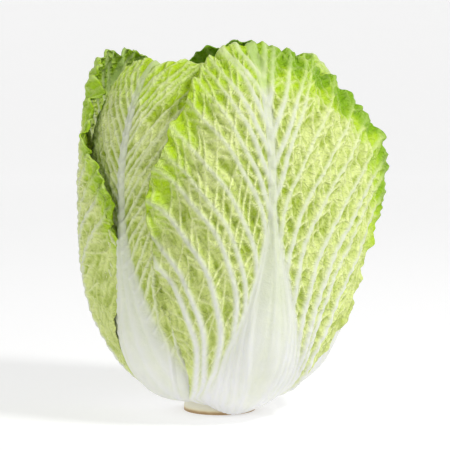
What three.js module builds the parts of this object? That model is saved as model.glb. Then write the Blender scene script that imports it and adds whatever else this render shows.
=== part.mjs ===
// Napa cabbage of the short barrel type, standing on the cut face of its stem.
//
// Millimetres, +Z up. The origin is the centre of the cut face. Bearings are degrees round +Z seen
// from above, from the front (-Y) towards +X. The head is a spiral of leaves on a short conical stem:
// each leaf's inner face lies on its own shell, one pitch inside the shell of the leaf before it, so
// that the leaves nest without touching. A leaf is a broad white rib at the base that thins into a
// wide blade, and the blade folds in over the crown.

import * as THREE from "three";

// Head: the shell that the outermost leaf's inner face lies on, round at the foot and flatter on top.
const HEAD_RADIUS = 95;
const CROWN_HEIGHT = 246;
const WAIST_HEIGHT = 142;
const SHELL_FOOT = 7.5;
const CROWN_POWER = 2.8;
const FOOT_POWER = 2.5;

// The head is a little wider than deep and has three shallow bulges, which twist round it and fade
// towards the stem. Every shell shares them, so the leaves still nest.
const WIDER = 0.022;
const BULGE = 0.012;
const BULGE_TWIST = 45;
const ROUND_AT_FOOT = 90;

// Spiral of leaves: how far in, up and round each leaf lies from the one before it. Inner leaves are
// set further up the stem from one to the next.
const LEAF_COUNT = 20;
const SHELL_PITCH = 3.6;
const FOOT_PITCH = 1.9;
const FOOT_PITCH_GROWTH = 0.035;
const FIRST_BEARING = 21;
const DIVERGENCE = 142.5;

// Stem: a cone inside the leaf bases, cut flat at the foot. Leaves stand a gap clear of it.
const STEM_RADIUS = 25;
const STEM_TIP_RADIUS = 9;
const STEM_HEIGHT = 74;
const STEM_ROUNDING = 1;
const STEM_SIDES = 32;
const GAP = 0.3;

// Leaf flesh: the blade's thickness, and the rib's thickness and half-width at the foot and tip. The
// rib keeps its thickness up to RIB_THINS and its width up to RIB_NARROWS, as shares of the length.
const BLADE = 0.9;
const RIB_THICKNESS = 8.5;
const RIB_THINS = [0.1, 0.95];
const RIB_HALF_WIDTH = 36;
const RIB_TIP_HALF_WIDTH = 3;
const RIB_NARROWS = [0.02, 0.62];

// Leaf outline: how much shorter the margins are than the middle, and how the blade widens from the
// rib's width at the foot to its widest place, then narrows to the tip.
const SHOULDER_DROP = 0.36;
const SHOULDER_POWER = 2.4;
const INNER_HALF_SPAN = 74;
const WIDEST_AT = 0.55;
const TIP_WIDTH_SHARE = 0.86;
const FOOT_REACH = 0.5;

// The wrapper leaves differ from the rest: half-widths at the widest place on the lesser and greater
// bearing side, where the tip ends as a radius from the axis, and how far the tip and the shoulders
// (lesser, greater) stand off the head.
const WRAPPERS = [
  { halfWidths: [82, 128], tipRadius: 50, tipFlare: 4, shoulderFlares: [2, 15] },
  { halfWidths: [118, 122], tipRadius: 64, tipFlare: 19, shoulderFlares: [0, 1] },
  { halfWidths: [108, 94], tipRadius: 52, tipFlare: 8, shoulderFlares: [0, 8] },
  { halfWidths: [108, 104], tipRadius: 46, tipFlare: 7, shoulderFlares: [0, 0] },
  { halfWidths: [106, 106], tipRadius: 46, tipFlare: 24, shoulderFlares: [0, 0] },
];
const INNER_TIP_RADIUS = 12;

// Where a flare rises, as shares of the way out to the margin and up to the tip.
const SHOULDER_RISE = { out: 0.55, up: 0.55 };
const TIP_RISE = { within: [0.1, 0.62], up: 0.78 };

// Mesh steps across and along a leaf, for the wrappers, the next leaves and the inner ones. Columns
// are set a little closer over the rib.
const STEPS = [
  { leaves: 5, across: 16, along: 20 },
  { leaves: 10, across: 12, along: 14 },
  { leaves: LEAF_COUNT, across: 10, along: 12 },
];
const COLUMN_POWER = 1.15;
const SHELL_STEPS = 160;

// Heart: the growing tip, an egg of tightly packed young leaves.
const HEART_FULLNESS = 0.8;
const HEART_STEPS = 14;
const HEART_SIDES = 20;

const COLOURS = {
  wrapper: 0xb9cf72,
  inner: 0xe2e6a6,
  heart: 0xf0ecb0,
  stem: 0xe9e6d4,
};

const smooth = (from, to, x) => THREE.MathUtils.smoothstep(x, from, to);
const mix = THREE.MathUtils.lerp;
const clamp = THREE.MathUtils.clamp;
const radians = THREE.MathUtils.degToRad;

const stemRadius = (z) => mix(STEM_RADIUS, STEM_TIP_RADIUS, clamp(z / STEM_HEIGHT, 0, 1));

function swelling(bearing, z) {
  const a = radians(bearing);
  const shallow = BULGE * Math.sin(3 * a + z / BULGE_TWIST) - WIDER * Math.cos(2 * a);
  return 1 + shallow * smooth(0, ROUND_AT_FOOT, z);
}

function point(bearing, radius, z) {
  const a = radians(bearing);
  const r = radius * swelling(bearing, z);
  return new THREE.Vector3(r * Math.sin(a), -r * Math.cos(a), z);
}

// A shell's outline from the stem to where a leaf's tip ends: quarter superellipses below and above
// the waist.
function shellOutline(order, tipRadius) {
  const radius = HEAD_RADIUS - order * SHELL_PITCH;
  const foot = SHELL_FOOT + order * FOOT_PITCH * (1 + FOOT_PITCH_GROWTH * order);
  const crown = CROWN_HEIGHT - order * SHELL_PITCH;
  const outline = [];
  for (let i = 0; i <= SHELL_STEPS; i++) {
    const t = (i / SHELL_STEPS) * (Math.PI / 2);
    const r = radius * Math.sin(t) ** (2 / FOOT_POWER);
    const z = WAIST_HEIGHT - (WAIST_HEIGHT - foot) * Math.cos(t) ** (2 / FOOT_POWER);
    if (r > stemRadius(z - RIB_THICKNESS) + GAP) outline.push(new THREE.Vector2(r, z));
  }
  for (let i = 1; i <= SHELL_STEPS; i++) {
    const t = (i / SHELL_STEPS) * (Math.PI / 2);
    const r = radius * Math.cos(t) ** (2 / CROWN_POWER);
    const z = WAIST_HEIGHT + (crown - WAIST_HEIGHT) * Math.sin(t) ** (2 / CROWN_POWER);
    if (r > tipRadius) outline.push(new THREE.Vector2(r, z));
  }
  const path = new THREE.Path();
  path.setFromPoints(outline);
  return path;
}

// The rib's half-width and thickness at a share of the leaf's length.
function ribHalfWidth(share, size) {
  return mix(RIB_HALF_WIDTH, RIB_TIP_HALF_WIDTH, smooth(...RIB_NARROWS, share)) * size;
}

function ribThickness(share, size) {
  return mix(RIB_THICKNESS, BLADE, smooth(...RIB_THINS, share)) * size;
}

// Thickness at a distance from the leaf's middle line: a rounded rib that runs out into the blade.
function thickness(distance, share, size) {
  const from = Math.min(1, Math.abs(distance) / ribHalfWidth(share, size));
  return BLADE + Math.max(0, ribThickness(share, size) - BLADE) * (1 - from * from) ** 1.5;
}

// Half-width of the leaf at a share of its length.
function leafHalfWidth(share, widest, size) {
  const grown = mix(RIB_HALF_WIDTH * size, widest, smooth(RIB_NARROWS[0], WIDEST_AT, share));
  return grown * mix(1, TIP_WIDTH_SHARE, smooth(WIDEST_AT, 1, share));
}

// A closed skin from two grids of points: the outer face, the inner face and the four edges.
function closedSheet(outer, inner, across, along) {
  const row = across + 1;
  const at = (i, j, side) => side * row * (along + 1) + j * row + i;
  const index = [];
  const quad = (a, b, c, d) => index.push(a, b, c, a, c, d);
  for (let j = 0; j < along; j++)
    for (let i = 0; i < across; i++) {
      quad(at(i, j, 0), at(i + 1, j, 0), at(i + 1, j + 1, 0), at(i, j + 1, 0));
      quad(at(i, j, 1), at(i, j + 1, 1), at(i + 1, j + 1, 1), at(i + 1, j, 1));
    }
  for (let i = 0; i < across; i++) {
    quad(at(i, 0, 1), at(i + 1, 0, 1), at(i + 1, 0, 0), at(i, 0, 0));
    quad(at(i, along, 0), at(i + 1, along, 0), at(i + 1, along, 1), at(i, along, 1));
  }
  for (let j = 0; j < along; j++) {
    quad(at(0, j, 1), at(0, j, 0), at(0, j + 1, 0), at(0, j + 1, 1));
    quad(at(across, j, 0), at(across, j, 1), at(across, j + 1, 1), at(across, j + 1, 0));
  }
  const geometry = new THREE.BufferGeometry();
  geometry.setFromPoints([...outer, ...inner]);
  geometry.setIndex(index);
  geometry.computeVertexNormals();
  return geometry;
}

function leafGeometry(order) {
  const shellRadius = HEAD_RADIUS - order * SHELL_PITCH;
  const size = Math.sqrt(shellRadius / HEAD_RADIUS);
  const widest = radians(INNER_HALF_SPAN) * shellRadius;
  const leaf = WRAPPERS[order] ?? {
    halfWidths: [widest, widest],
    tipRadius: INNER_TIP_RADIUS,
    tipFlare: 0,
    shoulderFlares: [0, 0],
  };
  const { across, along } = STEPS.find((s) => order < s.leaves);
  const outline = shellOutline(order, leaf.tipRadius);
  const bearing = FIRST_BEARING - order * DIVERGENCE;

  const outer = [];
  const inner = [];
  for (let j = 0; j <= along; j++)
    for (let i = 0; i <= across; i++) {
      const step = (2 * i) / across - 1;
      const side = Math.sign(step) * Math.abs(step) ** COLUMN_POWER;
      const out = Math.abs(side);
      const up = j / along;
      const hand = side < 0 ? 0 : 1;
      const share = up * (1 - SHOULDER_DROP * out ** SHOULDER_POWER);
      const here = outline.getPointAt(share);
      const tangent = outline.getTangentAt(share);
      const normal = new THREE.Vector2(tangent.y, -tangent.x);

      const distance = side * leafHalfWidth(share, leaf.halfWidths[hand], size);
      const turn = THREE.MathUtils.radToDeg(distance / Math.max(here.x, FOOT_REACH * shellRadius));
      const shoulder = smooth(SHOULDER_RISE.out, 1, out) * smooth(SHOULDER_RISE.up, 1, up);
      const tip = (1 - smooth(...TIP_RISE.within, out)) * smooth(TIP_RISE.up, 1, up);
      const flare = leaf.shoulderFlares[hand] * shoulder + leaf.tipFlare * tip;

      const innerAt = here.clone().addScaledVector(normal, flare);
      const outerAt = innerAt.clone().addScaledVector(normal, thickness(distance, share, size));
      inner.push(point(bearing + turn, innerAt.x, innerAt.y));
      outer.push(point(bearing + turn, outerAt.x, outerAt.y));
    }
  return closedSheet(outer, inner, across, along);
}

function stemGeometry() {
  const profile = [
    new THREE.Vector2(0, 0),
    new THREE.Vector2(STEM_RADIUS - STEM_ROUNDING, 0),
    new THREE.Vector2(STEM_RADIUS - GAP, STEM_ROUNDING),
    new THREE.Vector2(STEM_TIP_RADIUS, STEM_HEIGHT),
    new THREE.Vector2(0, STEM_HEIGHT + STEM_ROUNDING),
  ];
  return new THREE.LatheGeometry(profile, STEM_SIDES).rotateX(Math.PI / 2);
}

function heartGeometry() {
  const radius = HEAD_RADIUS - LEAF_COUNT * SHELL_PITCH - GAP;
  const foot = STEM_HEIGHT + STEM_ROUNDING + GAP;
  const top = CROWN_HEIGHT - (LEAF_COUNT + 1) * SHELL_PITCH;
  const profile = [];
  for (let i = 0; i <= HEART_STEPS; i++) {
    const t = (i / HEART_STEPS) * Math.PI;
    const r = radius * Math.sin(t) ** HEART_FULLNESS;
    profile.push(new THREE.Vector2(r, mix(foot, top, (1 - Math.cos(t)) / 2)));
  }
  return new THREE.LatheGeometry(profile, HEART_SIDES).rotateX(Math.PI / 2);
}

function piece(name, geometry, colour, roughness) {
  const material = new THREE.MeshStandardMaterial({ color: colour, roughness, metalness: 0 });
  const mesh = new THREE.Mesh(geometry, material);
  mesh.name = name;
  return mesh;
}

const cabbage = new THREE.Group();
cabbage.add(piece("stem", stemGeometry(), COLOURS.stem, 0.6));
for (let order = 0; order < LEAF_COUNT; order++) {
  const kind = order < WRAPPERS.length ? "wrapper" : "inner";
  const name = `${kind}_leaf_${String(order + 1).padStart(2, "0")}`;
  cabbage.add(piece(name, leafGeometry(order), COLOURS[kind], 0.45));
}
cabbage.add(piece("heart", heartGeometry(), COLOURS.heart, 0.5));

export default cabbage;
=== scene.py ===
"""Looks of a napa cabbage head: a short stem, the heart and a spiral of crinkled leaves with white ribs.

Metres in the scene, millimetres in the leaf's own sizes. The head stands on the cut face of its stem at
the origin, +Z up, and its front is -Y. Bearings are turned round +Z from the front towards +X.
"""

import math
import random

import bmesh
import bpy
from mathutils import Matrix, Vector


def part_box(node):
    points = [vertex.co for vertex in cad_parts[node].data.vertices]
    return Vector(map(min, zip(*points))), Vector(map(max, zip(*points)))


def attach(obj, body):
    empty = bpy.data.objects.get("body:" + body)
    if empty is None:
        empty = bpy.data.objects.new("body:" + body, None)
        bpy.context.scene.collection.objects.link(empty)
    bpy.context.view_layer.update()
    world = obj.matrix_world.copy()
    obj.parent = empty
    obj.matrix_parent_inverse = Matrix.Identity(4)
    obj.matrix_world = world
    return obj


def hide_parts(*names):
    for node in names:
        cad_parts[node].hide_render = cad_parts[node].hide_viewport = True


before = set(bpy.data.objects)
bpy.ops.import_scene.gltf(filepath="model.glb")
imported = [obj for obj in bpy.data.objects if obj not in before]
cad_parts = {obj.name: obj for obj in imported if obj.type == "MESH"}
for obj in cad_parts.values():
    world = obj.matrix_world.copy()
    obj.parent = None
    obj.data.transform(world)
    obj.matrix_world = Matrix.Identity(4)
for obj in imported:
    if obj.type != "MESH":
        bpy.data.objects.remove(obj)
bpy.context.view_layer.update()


# --- Stem -------------------------------------------------------------------------------------------
# The stem is a short cone of firm white flesh inside the leaf bases. It was cut square across at the
# foot, and the cut has dried: pale at the core, with a browner ring of fibres and a browned rim.


class Link:
    """A node's output that takes part in Python arithmetic: each operator adds its Math node."""

    def __init__(self, graph, socket):
        self.graph = graph
        self.socket = socket

    def math(self, operation, *values):
        return self.graph.add("ShaderNodeMath", {"operation": operation}, dict(enumerate(values)))

    def __add__(self, other):
        return self.math("ADD", self, other)

    def __radd__(self, other):
        return self.math("ADD", other, self)

    def __sub__(self, other):
        return self.math("SUBTRACT", self, other)

    def __rsub__(self, other):
        return self.math("SUBTRACT", other, self)

    def __mul__(self, other):
        return self.math("MULTIPLY", self, other)

    def __rmul__(self, other):
        return self.math("MULTIPLY", other, self)

    def __truediv__(self, other):
        return self.math("DIVIDE", self, other)

    def __pow__(self, other):
        return self.math("POWER", self, other)

    def __lt__(self, other):
        return self.math("LESS_THAN", self, other)

    def __gt__(self, other):
        return self.math("GREATER_THAN", self, other)

    def __abs__(self):
        return self.math("ABSOLUTE", self)

    def sin(self):
        return self.math("SINE", self)

    def cos(self):
        return self.math("COSINE", self)

    def least(self, other):
        return self.math("MINIMUM", self, other)

    def most(self, other):
        return self.math("MAXIMUM", self, other)

    def out(self, name):
        """Another output of the same node."""
        return Link(self.graph, enabled(self.socket.node.outputs, name))


def enabled(sockets, key):
    """The socket at a number, or the one in use with a name."""
    if isinstance(key, int):
        return sockets[key]
    return next(s for s in sockets if s.name == key and s.enabled)


class Graph:
    """A node tree, with the few ways in which this file adds nodes to it."""

    def __init__(self, tree):
        self.tree = tree

    def add(self, kind, settings=None, inputs=None):
        """A node of a type, its settings first, then its sockets' values or links: its first output."""
        node = self.tree.nodes.new(kind)
        for name, value in (settings or {}).items():
            if name == "stops":
                ramp(node.color_ramp, value)
            else:
                setattr(node, name, value)
        for key, value in (inputs or {}).items():
            socket = enabled(node.inputs, key)
            if isinstance(value, Link):
                self.tree.links.new(value.socket, socket)
            else:
                socket.default_value = value
        return Link(self, next((s for s in node.outputs if s.enabled), None)) if node.outputs else node

    def smooth(self, low, high, x):
        """0 below low, 1 above high, and a smooth step between."""
        return self.add(
            "ShaderNodeMapRange",
            {"interpolation_type": "SMOOTHSTEP"},
            {"Value": x, "From Min": low, "From Max": high},
        )

    def mix(self, share, first, second, kind="FLOAT"):
        """first at share 0, second at share 1."""
        return self.add("ShaderNodeMix", {"data_type": kind}, {"Factor": share, "A": first, "B": second})

    def vector(self, x, y, z):
        return self.add("ShaderNodeCombineXYZ", inputs={"X": x, "Y": y, "Z": z})


def ramp(colour_ramp, stops):
    """Sets a ramp's stops from pairs of place and colour."""
    while len(colour_ramp.elements) < len(stops):
        colour_ramp.elements.new(1.0)
    for element, (place, colour) in zip(colour_ramp.elements, stops):
        element.position = place
        element.color = colour


def colour(hexadecimal):
    """A screen colour as the linear colour that shaders take."""
    parts = [int(hexadecimal[i : i + 2], 16) / 255 for i in (1, 3, 5)]
    return [p / 12.92 if p <= 0.04045 else ((p + 0.055) / 1.055) ** 2.4 for p in parts] + [1.0]


def new_material(name):
    """An empty material's graph, and its Principled shader."""
    material = bpy.data.materials.new(name)
    material.use_nodes = True
    return material, Graph(material.node_tree), material.node_tree.nodes["Principled BSDF"]


def feed(graph, shader, **sockets):
    """Links or sets sockets of a shader, with their names in lower case and _ for a space."""
    for name, value in sockets.items():
        socket = shader.inputs[name.replace("_", " ").title().replace("Ior", "IOR")]
        if isinstance(value, Link):
            graph.tree.links.new(value.socket, socket)
        else:
            socket.default_value = value


def stem_material():
    material, graph, shader = new_material("cut_stem")
    place = graph.add("ShaderNodeTexCoord").out("Object")
    across = graph.add("ShaderNodeSeparateXYZ", inputs={"Vector": place})
    x, y = across.out("X"), across.out("Y")
    from_axis = (x * x + y * y) ** 0.5 / STEM_RADIUS
    grain = graph.add("ShaderNodeTexNoise", inputs={"Vector": place, "Scale": 900.0, "Detail": 3.0})
    blotches = graph.add("ShaderNodeTexNoise", inputs={"Vector": place, "Scale": 120.0, "Detail": 2.0})
    near_cut = 1 - graph.smooth(0.001, 0.005, across.out("Z"))
    browning = from_axis * near_cut + (blotches - 0.5) * 0.25
    flesh = graph.add(
        "ShaderNodeValToRGB",
        {
            "stops": [
                (0.0, colour("#f3f0dc")),
                (0.55, colour("#ece6c8")),
                (0.8, colour("#ddcba2")),
                (0.97, colour("#b29368")),
            ]
        },
        {"Fac": browning},
    )
    bump = graph.add(
        "ShaderNodeBump", inputs={"Strength": 0.5, "Distance": 0.0006, "Height": grain + blotches}
    )
    feed(graph, shader, base_color=flesh, roughness=0.45 + grain * 0.3, normal=bump)
    return material


def new_object(name, mesh):
    piece = bpy.data.objects.new(name, mesh)
    bpy.context.scene.collection.objects.link(piece)
    return piece


low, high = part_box("stem")
STEM_RADIUS = high.x
STEM_HEIGHT = high.z
STEM_TIP_RADIUS = 0.36 * STEM_RADIUS
STEM_RINGS = 40
STEM_SIDES = 96
CUT_DIP = 0.0007
CUT_SHARE = 0.985
RIM_HEIGHT = 0.0012


def stem_mesh():
    """The cone, with a narrow rim round a cut face that stands a little off the table at the pith."""
    mesh = bmesh.new()
    profile = []
    for i in range(STEM_RINGS + 1):
        share = i / STEM_RINGS
        profile.append((STEM_RADIUS * share * CUT_SHARE, CUT_DIP * (1 - share) ** 2))
    for i in range(1, STEM_RINGS + 1):
        share = i / STEM_RINGS
        radius = STEM_RADIUS + (STEM_TIP_RADIUS - STEM_RADIUS) * share
        profile.append((radius, RIM_HEIGHT + (STEM_HEIGHT - RIM_HEIGHT) * share))
    rings = []
    for radius, z in profile[1:]:
        turns = [2 * math.pi * k / STEM_SIDES for k in range(STEM_SIDES)]
        rings.append([mesh.verts.new((radius * math.sin(t), -radius * math.cos(t), z)) for t in turns])
    pith = mesh.verts.new((0, 0, profile[0][1]))
    tip = mesh.verts.new((0, 0, STEM_HEIGHT))
    for k in range(STEM_SIDES):
        after = (k + 1) % STEM_SIDES
        mesh.faces.new((pith, rings[0][after], rings[0][k]))
        mesh.faces.new((tip, rings[-1][k], rings[-1][after]))
        for lower, upper in zip(rings, rings[1:]):
            mesh.faces.new((lower[k], lower[after], upper[after], upper[k]))
    bmesh.ops.recalc_face_normals(mesh, faces=mesh.faces)
    for face in mesh.faces:
        face.smooth = True
    made = bpy.data.meshes.new("stem_flesh")
    mesh.to_mesh(made)
    mesh.free()
    made.materials.append(stem_material())
    return made


stem = new_object("stem_flesh", stem_mesh())
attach(stem, "root")
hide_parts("stem")


# --- Heart ------------------------------------------------------------------------------------------
# The growing tip of the stem carries the youngest leaves, a tight bud of small pale sheets. Every leaf
# of the head is such a sheet and grows in the same spiral, so what all leaves share is set out here.

# A leaf lies on a shell, a barrel whose outline rounds in to the foot and to the crown. It is a little
# wider than deep and bulges in three places. Each leaf's shell lies one pitch inside the last leaf's.
HEAD_RADIUS = 95.0
CROWN_HEIGHT = 246.0
WAIST_HEIGHT = 142.0
LEAST_WAIST = 20.0
SHELL_FOOT = 7.5
CROWN_POWER = 2.8
FOOT_POWER = 2.5
WIDER = 0.022
BULGE = 0.012
BULGE_TWIST = 45.0
ROUND_AT_FOOT = 90.0
SHELL_PITCH = 3.6
FOOT_PITCH = 1.9
FOOT_PITCH_GROWTH = 0.035
FIRST_BEARING = 21.0
DIVERGENCE = 142.5
GAP = 0.3
OUTLINE_STEPS = 160

# Laid flat, a leaf is a thin blade with a rib up its middle, which is broad and thick at the foot and
# narrows and thins towards the tip. Places along it are shares of its length.
BLADE = 0.9
RIB_THICKNESS = 8.5
RIB_THINS = (0.1, 0.95)
RIB_HALF_WIDTH = 36.0
RIB_TIP_HALF_WIDTH = 3.0
RIB_NARROWS = (0.02, 0.62)
SHOULDER_DROP = 0.36
SHOULDER_POWER = 2.4
HALF_SPAN = math.radians(74)
WIDEST_AT = 0.55
TIP_WIDTH_SHARE = 0.86
FOOT_REACH = 0.5
METRES = 0.001


def smoothstep(low, high, x):
    t = min(1.0, max(0.0, (x - low) / (high - low)))
    return t * t * (3 - 2 * t)


def lerp(a, b, share):
    return a + (b - a) * share


def rib_half_width(share):
    return lerp(RIB_HALF_WIDTH, RIB_TIP_HALF_WIDTH, smoothstep(*RIB_NARROWS, share))


def half_width(share, widest):
    grown = lerp(RIB_HALF_WIDTH, widest, smoothstep(RIB_NARROWS[0], WIDEST_AT, share))
    return grown * lerp(1, TIP_WIDTH_SHARE, smoothstep(WIDEST_AT, 1, share))


def stem_radius(z):
    share = min(1.0, max(0.0, z * METRES / STEM_HEIGHT))
    return lerp(STEM_RADIUS, STEM_TIP_RADIUS, share) / METRES


def shell_radius(order):
    return HEAD_RADIUS - order * SHELL_PITCH


def shell_outline(order, tip_radius):
    """Radius and height along a leaf's shell, from the stem to where its tip ends."""
    radius = shell_radius(order)
    foot = SHELL_FOOT + order * FOOT_PITCH * (1 + FOOT_PITCH_GROWTH * order)
    crown = CROWN_HEIGHT - order * SHELL_PITCH
    waist = max(WAIST_HEIGHT, foot + LEAST_WAIST)
    steps = [i / OUTLINE_STEPS * math.pi / 2 for i in range(OUTLINE_STEPS + 1)]
    outline = []
    for t in steps:
        r = radius * math.sin(t) ** (2 / FOOT_POWER)
        z = waist - (waist - foot) * abs(math.cos(t)) ** (2 / FOOT_POWER)
        if r > min(stem_radius(z - RIB_THICKNESS) + GAP, radius / 2):
            outline.append((r, z))
    for t in steps[1:]:
        r = radius * abs(math.cos(t)) ** (2 / CROWN_POWER)
        z = waist + (crown - waist) * math.sin(t) ** (2 / CROWN_POWER)
        if r > tip_radius:
            outline.append((r, z))
    return outline


def outline_length(outline):
    return sum(math.dist(a, b) for a, b in zip(outline, outline[1:]))


# Veins grow step by step, taper and sway a little. They lean out by angles in degrees: low and high
# beside the rib, then at the margin. Side veins and branches end where they come close to another vein.
VEIN_STEP = 2.0
VEIN_TIP_HALF_WIDTH = 0.4
VEIN_SWAY = 0.02
VEIN_SWAY_STEPS = 3.5
ARCH_LOW = 3
ARCH_HIGH = 24
ARCH_AT_MARGIN = 61
ARCH_OVER = 50
FAN_REACH = 400
FAN_LEAN = math.radians(4)
SIDE_REACH = 150
SIDE_CLEAR = 1.6
SIDE_PULL = 0.05
BRANCH_CLEAR = 1.7
BRANCH_PULL = 0.02


def vein_taper(travelled, at_start, over):
    """Half-width of a vein that starts at at_start and thins towards its end."""
    return VEIN_TIP_HALF_WIDTH + (at_start - VEIN_TIP_HALF_WIDTH) * math.exp(-travelled / over)


class Veins:
    """The veins of one leaf laid flat: points (across, along) in mm, with their half-widths."""

    CELL = 4.0

    def __init__(self, length, half_widths, seed):
        self.length = length
        self.half_widths = half_widths
        self.draw = random.Random(seed)
        self.points = []
        self.thick = []
        self.edges = []
        self.count = 0
        self.near = {}

    def inside(self, d, s):
        return 0 <= s < self.length and abs(d) < half_width(s / self.length, self.half_widths[d > 0])

    def flow(self, d, s):
        """The way veins run: up along the rib, leaning more the higher they are, then out in an arch."""
        beyond = max(0.0, abs(d) - rib_half_width(s / self.length))
        beside_rib = lerp(ARCH_LOW, ARCH_HIGH, smoothstep(0.35, 0.6, s / self.length))
        arch = math.radians(lerp(ARCH_AT_MARGIN, beside_rib, math.exp(-beyond / ARCH_OVER)))
        return math.copysign(arch * (1 - 0.4 * smoothstep(0.7, 1.0, s / self.length)), d)

    def meets(self, d, s, clear, own):
        """A point of another vein that lies closer than clear, if there is one."""
        column, row = int(d // self.CELL), int(s // self.CELL)
        for i in (column - 1, column, column + 1):
            for j in (row - 1, row, row + 1):
                for x, y, vein in self.near.get((i, j), ()):
                    if vein != own and math.hypot(x - d, y - s) < clear:
                        return x, y
        return None

    def grow(self, path, angle, order, taper, reach, clear=0.0, pull=0.12, own=-1):
        """One vein on from its first points, until the margin, its reach or a vein that it meets.

        pull is how fast it turns into the flow, and clear is how close it comes to a vein it ends at.
        Veins of order 2 stay out of the rib.
        """
        path = list(path)
        d, s = path[-1]
        sway = self.draw.uniform(0, 6.3)
        while len(path) * VEIN_STEP < reach:
            turn = pull * (self.flow(d, s) - angle)
            angle += turn + VEIN_SWAY * math.sin(len(path) / VEIN_SWAY_STEPS + sway)
            d += VEIN_STEP * math.sin(angle)
            s += VEIN_STEP * math.cos(angle)
            in_rib = abs(d) < 0.9 * rib_half_width(s / self.length)
            if not self.inside(d, s) or (order == 2 and in_rib):
                break
            path.append((d, s))
            met = clear and len(path) > 3 and self.meets(d, s, clear, own)
            if met:
                path.append(met)
                break
        first = len(self.points)
        self.points += path
        self.thick += [vein_taper(i * VEIN_STEP, *taper) for i in range(len(path))]
        self.edges += [(first + i, first + i + 1, order) for i in range(len(path) - 1)]
        for x, y in path:
            cell = (int(x // self.CELL), int(y // self.CELL))
            self.near.setdefault(cell, []).append((x, y, self.count))
        self.count += 1
        return self.count - 1, path

    def fan(self, count, leave, taper):
        """Veins side by side in the rib, which leave it one after another as it narrows."""
        for i in range(2 * count):
            side = 1 if i % 2 else -1
            number = i // 2
            at_foot = (count - number - 0.5) / count
            leaves = lerp(*leave, (number + self.draw.uniform(-0.2, 0.2)) / (count - 1)) * self.length
            path = []
            for k in range(int(leaves / VEIN_STEP) + 1):
                s = VEIN_STEP * k
                d = rib_half_width(s / self.length) * lerp(at_foot, 1, smoothstep(0, leaves, s))
                path.append((side * d, s))
            strong = self.draw.uniform(0.8, 1.1)
            yield self.grow(path, side * FAN_LEAN, 1, (taper[0] * strong, taper[1]), FAN_REACH)

    def sides(self, first, every, angle, taper):
        """Veins that leave the rib further up, to both sides."""
        for side in (-1, 1):
            s = first * self.length + (0.5 * every if side > 0 else 0)
            while s < 0.93 * self.length:
                rib = rib_half_width(s / self.length)
                start = (side * max(0.4 * rib, rib - 5), s)
                leaves = side * math.radians(angle + self.draw.uniform(-3, 3))
                yield self.grow([start], leaves, 1, taper, SIDE_REACH, SIDE_CLEAR, SIDE_PULL)
                s += every * self.draw.uniform(0.85, 1.15)

    def branches(self, grown, every, spread, taper, reach):
        """Finer veins to either side of the veins in grown, as in a feather."""
        for vein, path in grown:
            for side in (-1, 1):
                gap = self.draw.uniform(*every)
                for (x0, y0), (x1, y1) in zip(path, path[1:]):
                    gap -= math.dist((x0, y0), (x1, y1))
                    if gap > 0 or abs(x1) < 0.95 * rib_half_width(y1 / self.length):
                        continue
                    gap = self.draw.uniform(*every)
                    angle = math.atan2(x1 - x0, y1 - y0)
                    angle += side * math.radians(self.draw.uniform(*spread))
                    lasts = self.draw.uniform(0.6, 1.0) * reach
                    self.grow([(x1, y1)], angle, 2, taper, lasts, BRANCH_CLEAR, BRANCH_PULL, vein)

    def mesh(self):
        made = bpy.data.meshes.new("veins")
        made.from_pydata([(x, y, 0) for x, y in self.points], [e[:2] for e in self.edges], [])
        made.attributes.new("half_width", "FLOAT", "POINT").data.foreach_set("value", self.thick)
        made.attributes.new("order", "INT", "EDGE").data.foreach_set("value", [e[2] for e in self.edges])
        return made


def grown_veins(length, half_widths, seed, fan, sides, branches):
    """The veins of a leaf as an object that its nodes can read."""
    veins = Veins(length, half_widths, seed)
    main = list(veins.fan(*fan)) + list(veins.sides(*sides))
    veins.branches(main, *branches)
    return new_object("veins", veins.mesh())


# Fan: veins to a side, where the first and last leave the rib, and their taper. Sides: where they start,
# how far apart, at what angle, and their taper. Branches: gaps, angles, taper and reach.
FANNED = {
    "fan": (7, (0.07, 0.52), (2.8, 165)),
    "sides": (0.58, 19, 22, (1.7, 90)),
    "branches": ((5.0, 13.0), (28, 55), (0.8, 30), 36),
}


LEAF_INPUTS = [
    ("Veins", "NodeSocketObject", None),
    ("Vein scale", "NodeSocketFloat", 1.0),
    ("Outline", "NodeSocketObject", None),
    ("Length", "NodeSocketFloat", 300.0),
    ("Columns", "NodeSocketInt", 60),
    ("Rows", "NodeSocketInt", 80),
    ("Bearing", "NodeSocketFloat", 0.0),
    ("Shell radius", "NodeSocketFloat", 95.0),
    ("Size", "NodeSocketFloat", 1.0),
    ("Lesser half-width", "NodeSocketFloat", 100.0),
    ("Greater half-width", "NodeSocketFloat", 100.0),
    ("Tip flare", "NodeSocketFloat", 0.0),
    ("Lesser shoulder flare", "NodeSocketFloat", 0.0),
    ("Greater shoulder flare", "NodeSocketFloat", 0.0),
    ("Relief", "NodeSocketFloat", 1.0),
    ("Lesser frill", "NodeSocketFloat", 0.0),
    ("Greater frill", "NodeSocketFloat", 0.0),
    ("Tip frill", "NodeSocketFloat", 0.0),
    ("Foot swell", "NodeSocketFloat", 0.0),
    ("Lesser tuck", "NodeSocketFloat", 0.0),
    ("Greater tuck", "NodeSocketFloat", 0.0),
    ("Lesser green", "NodeSocketFloat", 0.3),
    ("Greater green", "NodeSocketFloat", 0.3),
    ("Green band", "NodeSocketFloat", 25.0),
    ("Seed", "NodeSocketFloat", 0.0),
    ("Material", "NodeSocketMaterial", None),
]


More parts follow.
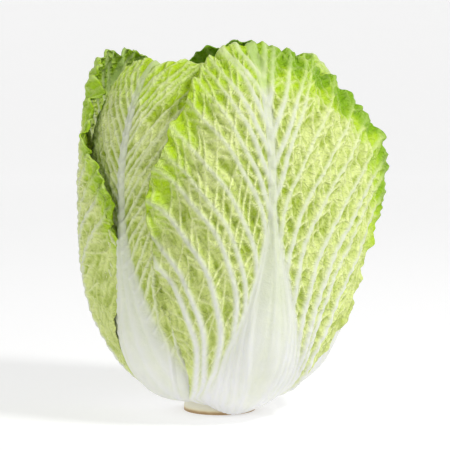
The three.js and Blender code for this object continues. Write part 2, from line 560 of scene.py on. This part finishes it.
# Relief of a leaf in mm, before the leaf's own share of it. The blade stands highest along its veins and
# sinks between them. Noise adds wrinkles, finer creases and streaks, which fade close to a vein.
VEIN_LIFT = 2.2
VALLEY_DEPTH = 2.6
VALLEY_WIDTH = 8.0
FORK_VALLEY_DEPTH = 0.9
FORK_VALLEY_WIDTH = 3.0
WRINKLE_LENGTH = 15
WRINKLE_HEIGHT = 4.2
CREASE_LENGTH = 7
CREASE_HEIGHT = 2.6
STREAKS_PER_MM = 0.28
STREAK_LENGTH = 15
STREAK_HEIGHT = 2.6
SMOOTH_BY_VEIN = 4.5

# Ribs have a few soft grooves along them. Margins are ragged, with a frill in waves and a finer ruffle.
GROOVES_PER_SIDE = 4.5
GROOVE_LENGTH = 110
GROOVE_HEIGHT = 3.2
RAGGED_LENGTH = 19
RAGGED_SIDE = 0.1
RAGGED_TIP = 0.06
FRILL_REACH = 28.0
FRILL_LENGTH = 19
FRILL_HEIGHT = 3.4
RUFFLE_REACH = 12.0
RUFFLE_LENGTH = 10
RUFFLE_HEIGHT = 3.2
TUCK_REACH = 45.0
MARGIN_EDGE = 0.0001
NOISE_SEED_STEP = 3.1


class LeafGraph(Graph):
    """Geometry Nodes for one leaf: a grid laid out as a flat leaf, veined, then bent onto its shell."""

    def __init__(self):
        super().__init__(bpy.data.node_groups.new("leaf", "GeometryNodeTree"))
        for name, kind, value in LEAF_INPUTS:
            socket = self.tree.interface.new_socket(name, in_out="INPUT", socket_type=kind)
            if value is not None:
                socket.default_value = value
        self.tree.interface.new_socket("Geometry", in_out="OUTPUT", socket_type="NodeSocketGeometry")
        self.inputs = self.add("NodeGroupInput")
        self.lay_flat()
        self.form_rib()
        self.find_veins()
        self.raise_ridges()
        self.wrinkle()
        self.frill()
        self.stand_off()
        self.mark()
        self.bend_and_close()

    def given(self, name):
        """One of the leaf's inputs."""
        return self.inputs.out(name)

    def either(self, what):
        """An input that the leaf has for each of its sides."""
        return self.mix(self.right, self.given(f"Lesser {what}"), self.given(f"Greater {what}"))

    def noise(self, wavelength, x, y, layer, detail):
        """Noise over the flat leaf, about -0.5 to 0.5, different for each leaf and each layer."""
        slice_of_noise = self.given("Seed") * NOISE_SEED_STEP + layer
        place = self.vector(x / wavelength, y / wavelength, slice_of_noise)
        inputs = {"Vector": place, "Scale": 1.0, "Detail": detail, "Roughness": 0.5}
        return self.add("ShaderNodeTexNoise", {"noise_dimensions": "3D"}, inputs) - 0.5

    def lay_flat(self):
        """The grid, and how far across and along the flat leaf each of its points lies."""
        counts = {"Vertices X": self.given("Columns"), "Vertices Y": self.given("Rows")}
        self.grid = self.add("GeometryNodeMeshGrid", inputs={"Size X": 2.0, "Size Y": 1.0, **counts})
        position = self.add("GeometryNodeInputPosition")
        place = self.add("ShaderNodeSeparateXYZ", inputs={"Vector": position})
        self.side, self.up = place.out("X"), place.out("Y") + 0.5
        self.outward, self.right = abs(self.side), self.side > 0
        self.size = self.given("Size")
        length = self.given("Length")
        share = self.up * (1 - SHOULDER_DROP * self.outward**SHOULDER_POWER)
        widens = self.smooth(RIB_NARROWS[0], WIDEST_AT, share)
        narrows = self.mix(self.smooth(WIDEST_AT, 1, share), 1.0, TIP_WIDTH_SHARE)
        half = self.mix(widens, RIB_HALF_WIDTH * self.size, self.either("half-width")) * narrows
        ragged_side = self.noise(RAGGED_LENGTH, share * length, self.right * 90, 0.0, 1.0)
        half = half * (1 + RAGGED_SIDE * widens * ragged_side)
        self.across = self.side * half
        ragged_tip = self.noise(RAGGED_LENGTH, self.across, 0.0, 5.0, 1.0)
        self.share = share * (1 + RAGGED_TIP * self.smooth(0.7, 1, self.up) * ragged_tip)
        self.along = self.share * length
        self.to_side = (1 - self.outward) * half
        self.to_margin = self.to_side.least((1 - self.up) * length * 0.9)

    def form_rib(self):
        """Where the rib is, its grooves, and the thickness of the sheet across rib and blade."""
        narrowed = self.smooth(*RIB_NARROWS, self.share)
        thinned = self.smooth(*RIB_THINS, self.share)
        self.rib_half = self.mix(narrowed, RIB_HALF_WIDTH, RIB_TIP_HALF_WIDTH) * self.size
        rib_thick = self.mix(thinned, RIB_THICKNESS, BLADE) * self.size
        from_rib = abs(self.across) / self.rib_half
        rounded = (1 - from_rib.least(1.0) * from_rib.least(1.0)) ** 1.5
        self.thickness = BLADE + (rib_thick - BLADE).most(0.0) * rounded
        self.in_rib = 1 - self.smooth(0.8, 1.2, from_rib)
        side_by_side = self.across / self.rib_half * GROOVES_PER_SIDE
        grooves = self.noise(1, side_by_side, self.along / GROOVE_LENGTH, 71.0, 1.0)
        self.grooves = grooves * self.in_rib * self.smooth(0.02, 0.12, self.share)

    def find_veins(self):
        """How near the main veins and the fork veins, which branch off them, are."""
        info = self.add("GeometryNodeObjectInfo", inputs={"Object": self.given("Veins")})
        sized = self.vector(self.given("Vein scale"), self.given("Vein scale"), 1.0)
        veins = {"Geometry": info.out("Geometry"), "Scale": sized}
        self.veins = self.add("GeometryNodeTransform", inputs=veins)
        self.main_distance, self.main_half, self.main = self.vein(1)
        self.fork_distance, self.fork_half, self.fork = self.vein(2)

    def vein(self, number):
        """Distance to the nearest vein of an order, its half-width, and how far up its ridge this is."""
        order = self.add("GeometryNodeInputNamedAttribute", {"data_type": "INT"}, {"Name": "order"})
        chosen = self.add(
            "GeometryNodeSeparateGeometry",
            {"domain": "EDGE"},
            {"Geometry": self.veins, "Selection": abs(order - number) < 0.5},
        )
        at = {"Geometry": chosen, "Sample Position": self.vector(self.across, self.along, 0.0)}
        distance = self.add("GeometryNodeProximity", {"target_element": "EDGES"}, at).out("Distance")
        nearest = self.add("GeometryNodeSampleNearest", {"domain": "POINT"}, at)
        stored = {"Name": "half_width"}
        own_half = self.add("GeometryNodeInputNamedAttribute", {"data_type": "FLOAT"}, stored)
        half = self.add(
            "GeometryNodeSampleIndex",
            {"data_type": "FLOAT", "domain": "POINT"},
            {"Geometry": chosen, "Value": own_half, "Index": nearest},
        )
        return distance, half, 1 - self.smooth(0.1, 1.9, distance / half)

    def raise_ridges(self):
        """Ridges of the outer face: veins, which are lower within the rib, and between the grooves."""
        in_foot = self.in_rib * (1 - self.smooth(0.08, 0.2, self.share))
        veins = self.main * self.main_half * self.mix(self.in_rib, 0.9, 0.6) * (1 - in_foot * 0.6)
        grooved = (self.grooves + 0.3).most(0.0) * self.size * GROOVE_HEIGHT
        grooved = grooved * self.in_rib * self.smooth(0.04, 0.2, self.share)
        self.ridges = veins.most(self.fork * self.fork_half * 0.9) + grooved

    def wrinkle(self):
        """How far off its shell the blade lies, with valleys between the veins and wrinkles."""
        valley = self.smooth(0.0, VALLEY_WIDTH, self.main_distance - self.main_half * 0.8) * VALLEY_DEPTH
        valley = valley + self.smooth(0.0, FORK_VALLEY_WIDTH, self.fork_distance) * FORK_VALLEY_DEPTH
        self.wrinkles = self.noise(WRINKLE_LENGTH, self.across, self.along, 11.0, 2.0)
        creases = self.noise(CREASE_LENGTH, self.across, self.along, 51.0, 2.0)
        off_main = self.main_distance * STREAKS_PER_MM
        self.streaks = self.noise(1, off_main, self.along / STREAK_LENGTH, 61.0, 2.0)
        rougher = 1 + 0.8 * self.smooth(0.4, 0.8, self.share)
        uneven = self.wrinkles * WRINKLE_HEIGHT + creases * CREASE_HEIGHT * rougher
        uneven = uneven + self.streaks * STREAK_HEIGHT
        off_vein = self.smooth(0.0, SMOOTH_BY_VEIN, self.main_distance - self.main_half)
        uneven = uneven * self.mix(off_vein, 0.2, 1.0)
        self.lies = self.given("Relief") * (1 - self.in_rib) * (VEIN_LIFT + uneven - valley)

    def frill(self):
        """The frill of the margins: waves that stand off the head, with a finer ruffle in and out."""
        near_margin = 1 - self.smooth(0.0, FRILL_REACH, self.to_margin)
        at_margin = 1 - self.smooth(0.0, RUFFLE_REACH, self.to_margin)
        at_tip = self.smooth(0.75, 0.92, self.up)
        frill = self.mix(at_tip, self.either("frill"), self.given("Tip frill"))
        frill = frill * self.smooth(0.12, 0.4, self.share)
        waves = self.noise(FRILL_LENGTH, self.across, self.along, 23.0, 1.0)
        ruffle = self.noise(RUFFLE_LENGTH, self.across, self.along, 37.0, 1.0)
        self.lies = self.lies + frill * near_margin * (0.45 + (waves * FRILL_HEIGHT).most(-0.4))
        self.lies = self.lies + frill * at_margin * ruffle * RUFFLE_HEIGHT

    def stand_off(self):
        """Margins are tucked in against the leaf below, the rib's foot swells, shoulders and tip flare."""
        smooth, up, share = self.smooth, self.up, self.share
        hugging = (1 - smooth(0.0, TUCK_REACH, self.to_side)) * (1 - smooth(0.75, 1.0, up))
        hugging = hugging * smooth(0.2, 0.6, share)
        swell = self.given("Foot swell") * smooth(0.0, 0.1, share) * (1 - smooth(0.12, 0.4, share))
        swell = swell * self.in_rib
        shoulder = smooth(0.55, 1, self.outward) * smooth(0.55, 1, up)
        tip = (1 - smooth(0.1, 0.62, self.outward)) * smooth(0.78, 1, up)
        self.lies = self.lies - self.either("tuck") * hugging + swell
        self.lies = self.lies + self.either("shoulder flare") * shoulder + self.given("Tip flare") * tip

    def mark(self):
        """Stores what the material reads: white ribs and stout veins, fine veins, green margins, the pale
        foot, and streaks of tone.
        The streaks are darker in the troughs of the relief's streaks and beside the rib, which is painted
        shade."""
        smooth, share = self.smooth, self.share
        stout = smooth(0.5, 1.5, self.main_half)
        # Painted shade: the rib is less white where its grooves sink, so green tissue shows through in the
        # hollows.
        rib = self.in_rib * (0.88 + 0.12 * self.main + 0.4 * self.grooves)
        towards_tip = smooth(0.58, 0.96, self.up)
        band = self.given("Green band") * self.mix(towards_tip, 0.35, 2.1)
        green = 1 - smooth(0.15, 1.0, (self.to_margin / band + self.wrinkles * 1.4).most(0.0))
        across = smooth(-0.45, 0.35, self.side)
        green = green * self.mix(across, self.given("Lesser green"), self.given("Greater green"))
        # Painted shade: the tissue is darker beside the rib, in the deep valleys between the rib and the
        # veins.
        beside_rib = 1 - smooth(3.0, 28.0, abs(self.across) - self.rib_half)
        shade = 0.14 * beside_rib * smooth(0.2, 0.4, share) * (1 - smooth(0.7, 0.9, share))
        stored = {
            "vein": rib.most(self.main * stout).least(1.0),
            "fork": (self.main * 0.9).most(self.fork),
            "green": green * self.mix(towards_tip, 0.1, 1.0),
            "pale": 1 - smooth(0.05, 0.6, share + self.wrinkles * 0.2),
            "streak": self.streaks - shade,
        }
        self.marked = self.grid
        for name, value in stored.items():
            self.marked = self.add(
                "GeometryNodeStoreNamedAttribute",
                {"data_type": "FLOAT", "domain": "POINT"},
                {"Geometry": self.marked, "Name": name, "Value": value},
            )
        on_leaf = self.vector(self.across / 100, self.along / 100, 0.0)
        self.marked = self.add(
            "GeometryNodeStoreNamedAttribute",
            {"data_type": "FLOAT2", "domain": "CORNER"},
            {"Geometry": self.marked, "Name": "flat", "Value": on_leaf},
        )

    def bent(self, lift):
        """The sheet bent onto its shell, at a distance off it."""
        guide = self.add("GeometryNodeObjectInfo", inputs={"Object": self.given("Outline")})
        curve = self.add("GeometryNodeMeshToCurve", inputs={"Mesh": guide.out("Geometry")})
        on_outline = self.add(
            "GeometryNodeSampleCurve",
            {"mode": "FACTOR", "data_type": "FLOAT"},
            {"Curves": curve, "Factor": self.share.least(1.0)},
        )
        here = self.add("ShaderNodeSeparateXYZ", inputs={"Vector": on_outline.out("Position")})
        tangent = self.add("ShaderNodeSeparateXYZ", inputs={"Vector": on_outline.out("Tangent")})
        turn = self.across / here.out("X").most(FOOT_REACH * self.given("Shell radius"))
        bearing = self.given("Bearing") * (math.pi / 180) + turn
        z = here.out("Z") - tangent.out("X") * lift
        swelling = BULGE * (3 * bearing + z / BULGE_TWIST).sin() - WIDER * (2 * bearing).cos()
        r = here.out("X") + tangent.out("Z") * lift
        r = r * (1 + swelling * self.smooth(0, ROUND_AT_FOOT, z))
        position = self.vector(r * bearing.sin() * METRES, r * bearing.cos() * -METRES, z * METRES)
        moved = {"Geometry": self.marked, "Position": position}
        return self.add("GeometryNodeSetPosition", inputs=moved)

    def bend_and_close(self):
        """Both faces of the sheet on the shell, which meet at the margin, as one closed leaf."""
        low, high = MARGIN_EDGE, 1 - MARGIN_EDGE
        within = (self.outward < high) * (self.up > low) * (self.up < high)
        outer = self.bent(self.lies + within * (self.thickness + self.ridges))
        inner = self.add("GeometryNodeFlipFaces", inputs={"Mesh": self.bent(self.lies)})
        both = self.add("GeometryNodeJoinGeometry", inputs={"Geometry": outer})
        self.tree.links.new(inner.socket, both.socket.node.inputs["Geometry"])
        closed = self.add("GeometryNodeMergeByDistance", inputs={"Geometry": both, "Distance": 1e-6})
        shaded = self.add("GeometryNodeSetShadeSmooth", inputs={"Geometry": closed})
        real = self.add("GeometryNodeRealizeInstances", inputs={"Geometry": shaded})
        finish = {"Geometry": real, "Material": self.given("Material")}
        leaf = self.add("GeometryNodeSetMaterial", inputs=finish)
        self.add("NodeGroupOutput", inputs={"Geometry": leaf})


def leaf_material():
    """White ribs and veins, yellow-green tissue, dark green margin, a fine net, and a waxy sheen, with
    painted shade that greys the upper rib and its grooves and darkens the tissue in troughs and beside the
    rib.
    """
    material, graph, shader = new_material("cabbage_leaf")
    flat = graph.add("ShaderNodeUVMap", {"uv_map": "flat"})

    def stored(name):
        return graph.add("ShaderNodeAttribute", {"attribute_name": name}).out("Fac")

    wavering = {"Vector": flat, "Scale": 14.0, "Detail": 1.0}
    wavy = graph.add("ShaderNodeTexNoise", inputs=wavering).out("Color")
    pushed = graph.add("ShaderNodeVectorMath", {"operation": "SCALE"}, {"Vector": wavy, "Scale": 0.05})
    warped = graph.add("ShaderNodeVectorMath", {"operation": "ADD"}, {0: flat, 1: pushed})

    def cells(scale, width):
        """1 on the veins of a net over the leaf, 0 in its meshes."""
        inputs = {"Vector": warped, "Scale": scale, "Randomness": 1.0}
        settings = {"voronoi_dimensions": "2D", "feature": "DISTANCE_TO_EDGE"}
        return 1 - graph.smooth(0.0, width, graph.add("ShaderNodeTexVoronoi", settings, inputs))

    def noise(scale, detail):
        inputs = {"Vector": flat, "Scale": scale, "Detail": detail}
        return graph.add("ShaderNodeTexNoise", {"noise_dimensions": "2D"}, inputs)

    def tint(share, first, second):
        return graph.mix(share, first, second, "RGBA")

    vein, fork, green, pale = stored("vein"), stored("fork"), stored("green"), stored("pale")
    coarse, finer = cells(17.0, 0.3), cells(42.0, 0.3)
    mottle, grain = noise(9.0, 4.0), noise(110.0, 2.0)
    # The mottle is the leaf's own tone. The stored streaks add painted shade: olive in the troughs of the
    # relief's streaks and beside the rib.
    blotches = graph.smooth(-0.2, 0.16, (mottle - 0.5) * 0.5 + stored("streak"))
    tissue = tint(blotches, colour("#96ad22"), colour("#d6e290"))
    tissue = tint(pale * 0.55, tissue, colour("#d8e192"))
    tissue = tint(graph.smooth(0.0, 0.5, green), tissue, colour("#acce04"))
    tissue = tint(graph.smooth(0.5, 1.0, green), tissue, colour("#76a400"))
    bare = 1 - green * 0.92
    tissue = tint((coarse * 0.3).most(finer * 0.15) * bare, tissue, colour("#dfe99a"))
    tissue = tint(fork * bare, tissue, colour("#e0e9a4"))
    # Painted shade: the rib's flesh is white at the pale foot and greyer higher up, and the grey is shade
    # on the rib.
    flesh = tint(pale, colour("#cfd4bf"), colour("#e5e5e4"))
    skin = tint(vein * bare, tissue, flesh)
    height = fork * 0.4 + (coarse * 0.5 + finer * 0.3 + mottle * 0.8) * (1 - vein) + grain * 0.15
    bump = graph.add("ShaderNodeBump", inputs={"Strength": 0.9, "Distance": 0.0014, "Height": height})
    feed(
        graph,
        shader,
        base_color=skin,
        roughness=0.5 - vein * 0.1 + grain * 0.1,
        normal=bump,
        specular_ior_level=0.16,
        coat_weight=0.03,
        coat_roughness=0.3,
        subsurface_weight=0.15,
        subsurface_scale=0.002,
        subsurface_radius=(1.0, 1.0, 0.3),
    )
    return material


LEAF_NODES = LeafGraph().tree
LEAF_FINISH = leaf_material()


def grow_leaf(name, order, veins, veins_length, tip_radius, half_widths, columns, rows, **looks):
    """A leaf at its place in the spiral, as a plain mesh. Its looks are inputs of the leaf's nodes."""
    outline = shell_outline(order, tip_radius)
    length = outline_length(outline)
    line = bpy.data.meshes.new("outline")
    points = [(r, 0, z) for r, z in outline]
    line.from_pydata(points, [(i, i + 1) for i in range(len(points) - 1)], [])
    guide = new_object("outline", line)
    piece = new_object(name, bpy.data.meshes.new(name))
    modifier = piece.modifiers.new("leaf", "NODES")
    modifier.node_group = LEAF_NODES
    coarser = 1
    values = {
        "Veins": veins,
        "Vein scale": length / veins_length,
        "Outline": guide,
        "Length": length,
        "Columns": columns // coarser,
        "Rows": rows // coarser,
        "Bearing": FIRST_BEARING - order * DIVERGENCE,
        "Shell radius": shell_radius(order),
        "Size": math.sqrt(shell_radius(order) / HEAD_RADIUS),
        "Lesser half-width": float(half_widths[0]),
        "Greater half-width": float(half_widths[1]),
        "Seed": float(order),
        "Material": LEAF_FINISH,
        **{key.replace("_", " ").capitalize(): float(value) for key, value in looks.items()},
    }
    for item in LEAF_NODES.interface.items_tree:
        if item.in_out == "INPUT" and item.name in values:
            modifier[item.identifier] = values[item.name]
    depsgraph = bpy.context.evaluated_depsgraph_get()
    made = bpy.data.meshes.new_from_object(piece.evaluated_get(depsgraph), depsgraph=depsgraph)
    piece.modifiers.clear()
    piece.data = made
    bpy.data.objects.remove(guide)
    return piece


def even_half_widths(order):
    return (HALF_SPAN * shell_radius(order),) * 2


HEART_ORDERS = range(21, 26)
YOUNG_VEINS_ORDER = 5
YOUNG_VEINS_SEED = 40
INNER_TIP_RADIUS = 3.0
young_length = outline_length(shell_outline(YOUNG_VEINS_ORDER, INNER_TIP_RADIUS))
young_half_widths = even_half_widths(YOUNG_VEINS_ORDER)
young_veins = grown_veins(young_length, young_half_widths, YOUNG_VEINS_SEED, **FANNED)
for number, order in enumerate(HEART_ORDERS, 1):
    piece = grow_leaf(
        f"heart_leaf_{number}",
        order,
        young_veins,
        young_length,
        tip_radius=2.0,
        half_widths=even_half_widths(order),
        columns=50,
        rows=70,
        relief=0.1,
        lesser_green=0.0,
        greater_green=0.0,
    )
    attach(piece, "root")
    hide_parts("heart")


# --- Inner leaves -----------------------------------------------------------------------------------
# Fifteen leaves in the spiral, each folded in over the crown, one pitch outside the next. They grow
# from the stem round the heart. Light hardly reaches them, so they are pale and only faintly green.

WRAPPER_COUNT = 5
LEAF_COUNT = 20
for order in reversed(range(WRAPPER_COUNT, LEAF_COUNT)):
    node = f"inner_leaf_{order + 1:02d}"
    piece = grow_leaf(
        f"{node}_skin",
        order,
        young_veins,
        young_length,
        tip_radius=INNER_TIP_RADIUS,
        half_widths=even_half_widths(order),
        columns=90,
        rows=110,
        relief=0.35,
        tip_frill=0.8,
        lesser_green=0.35,
        greater_green=0.35,
        green_band=16,
    )
    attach(piece, "root")
    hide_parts(node)
bpy.data.objects.remove(young_veins)


# --- Wrapper leaves ---------------------------------------------------------------------------------
# The five outermost leaves are the oldest: the broadest ribs, the deepest relief and the greenest
# margins. Free margins are frilled, tips stand off the head, and some sides are tucked in against it.

WRAPPER_SEED = 11
FEATHERED = {
    "fan": (4, (0.06, 0.3), (1.5, 200)),
    "sides": (0.2, 8.5, 40, (1.0, 130)),
    "branches": ((9.0, 22.0), (35, 60), (0.4, 20), 14),
}
WRAPPERS = [
    dict(
        half_widths=(82, 128),
        tip_radius=50,
        tip_flare=4,
        lesser_shoulder_flare=2,
        greater_shoulder_flare=12,
        lesser_frill=3.0,
        greater_frill=4.0,
        tip_frill=4.0,
        lesser_tuck=8.0,
        greater_tuck=2.0,
        lesser_green=0.5,
        greater_green=0.9,
        veining=FANNED,
    ),
    dict(
        half_widths=(118, 122),
        tip_radius=64,
        tip_flare=16,
        greater_shoulder_flare=1,
        lesser_frill=3.0,
        greater_frill=1.5,
        tip_frill=5.0,
        lesser_tuck=6.0,
        greater_tuck=6.5,
        lesser_green=0.82,
        greater_green=0.75,
        veining=FANNED,
    ),
    dict(
        half_widths=(108, 94),
        tip_radius=52,
        tip_flare=8,
        greater_shoulder_flare=8,
        lesser_frill=0.5,
        greater_frill=3.0,
        tip_frill=4.0,
        greater_tuck=6.0,
        lesser_green=0.6,
        greater_green=0.8,
        veining=FANNED,
    ),
    dict(
        half_widths=(108, 104),
        tip_radius=46,
        tip_flare=7,
        tip_frill=4.0,
        foot_swell=4.5,
        lesser_green=0.5,
        greater_green=0.5,
        veining=FEATHERED,
    ),
    dict(
        half_widths=(106, 106),
        tip_radius=46,
        tip_flare=24,
        tip_frill=4.0,
        lesser_green=1.0,
        greater_green=1.0,
        veining=FANNED,
    ),
]
for order, looks in enumerate(WRAPPERS):
    node = f"wrapper_leaf_{order + 1:02d}"
    length = outline_length(shell_outline(order, looks["tip_radius"]))
    veining = looks.pop("veining")
    veins = grown_veins(length, looks["half_widths"], WRAPPER_SEED + order, **veining)
    piece = grow_leaf(
        f"{node}_skin",
        order,
        veins,
        length,
        columns=210,
        rows=226,
        green_band=30,
        **looks,
    )
    bpy.data.objects.remove(veins)
    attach(piece, "root")
    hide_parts(node)


# --- Floor, light and camera ------------------------------------------------------------------------
# The head stands on a round white sweep, a floor that curves up into a wall all round, under an open
# white sky. A strong soft light from the right and a weak broad one from the left model its relief.

SWEEP_REACH = 2.6
SWEEP_CURVE = 1.2
SWEEP_SIDES = 96
FLOOR_RINGS = 8
CURVE_RINGS = 24
HEAD_MIDDLE = Vector((0, 0, 0.12))


def sweep_mesh():
    profile = [(SWEEP_REACH * i / FLOOR_RINGS, 0.0) for i in range(1, FLOOR_RINGS + 1)]
    for i in range(1, CURVE_RINGS + 1):
        t = i / CURVE_RINGS * math.pi / 2
        profile.append((SWEEP_REACH + SWEEP_CURVE * math.sin(t), SWEEP_CURVE * (1 - math.cos(t))))
    profile.append((SWEEP_REACH + SWEEP_CURVE, 2 * SWEEP_CURVE))
    turns = [2 * math.pi * k / SWEEP_SIDES for k in range(SWEEP_SIDES)]
    points = [(r * math.cos(t), r * math.sin(t), z) for r, z in profile for t in turns]
    faces = [tuple(range(SWEEP_SIDES))]
    for ring in range(len(profile) - 1):
        for k in range(SWEEP_SIDES):
            first, after = ring * SWEEP_SIDES + k, ring * SWEEP_SIDES + (k + 1) % SWEEP_SIDES
            faces.append((first, first + SWEEP_SIDES, after + SWEEP_SIDES, after))
    made = bpy.data.meshes.new("sweep")
    made.from_pydata(points, [], faces)
    made.shade_smooth()
    return made


sweep = new_object("sweep", sweep_mesh())
sweep_finish, sweep_graph, sweep_shader = new_material("white_sweep")
feed(
    sweep_graph,
    sweep_shader,
    base_color=colour("#bcbcbc"),
    roughness=0.9,
    emission_color=(1, 1, 1, 1),
    emission_strength=0.55,
)
sweep.data.materials.append(sweep_finish)

scene = bpy.context.scene
world = bpy.data.worlds.new("studio")
world.use_nodes = True
sky = world.node_tree.nodes["Background"]
sky.inputs["Color"].default_value = (1, 1, 1, 1)
sky.inputs["Strength"].default_value = 0.38
scene.world = world
scene.view_settings.view_transform = "Standard"


def softbox(name, place, size, power):
    """A round soft light aimed at the middle of the head."""
    lamp = bpy.data.lights.new(name, "AREA")
    lamp.shape = "DISK"
    lamp.size = size
    lamp.energy = power
    light = bpy.data.objects.new(name, lamp)
    light.location = place
    light.rotation_euler = (HEAD_MIDDLE - Vector(place)).to_track_quat("-Z", "Y").to_euler()
    scene.collection.objects.link(light)


softbox("key", (1.0, -0.7, 1.4), 0.35, 18.5)
softbox("fill", (-0.9, -1.2, 0.9), 0.9, 1.8)

FRAME_WIDTH = 0.305
CAMERA_DISTANCE = 1.3
CAMERA_RISE = math.radians(5)
aim = Vector((0.0037, 0, 0.126))
camera_data = bpy.data.cameras.new("camera")
camera_data.angle = 2 * math.atan(FRAME_WIDTH / 2 / CAMERA_DISTANCE)
camera = bpy.data.objects.new("camera", camera_data)
camera.location = aim + CAMERA_DISTANCE * Vector((0, -math.cos(CAMERA_RISE), math.sin(CAMERA_RISE)))
camera.rotation_euler = (aim - camera.location).to_track_quat("-Z", "Y").to_euler()
scene.collection.objects.link(camera)
scene.camera = camera
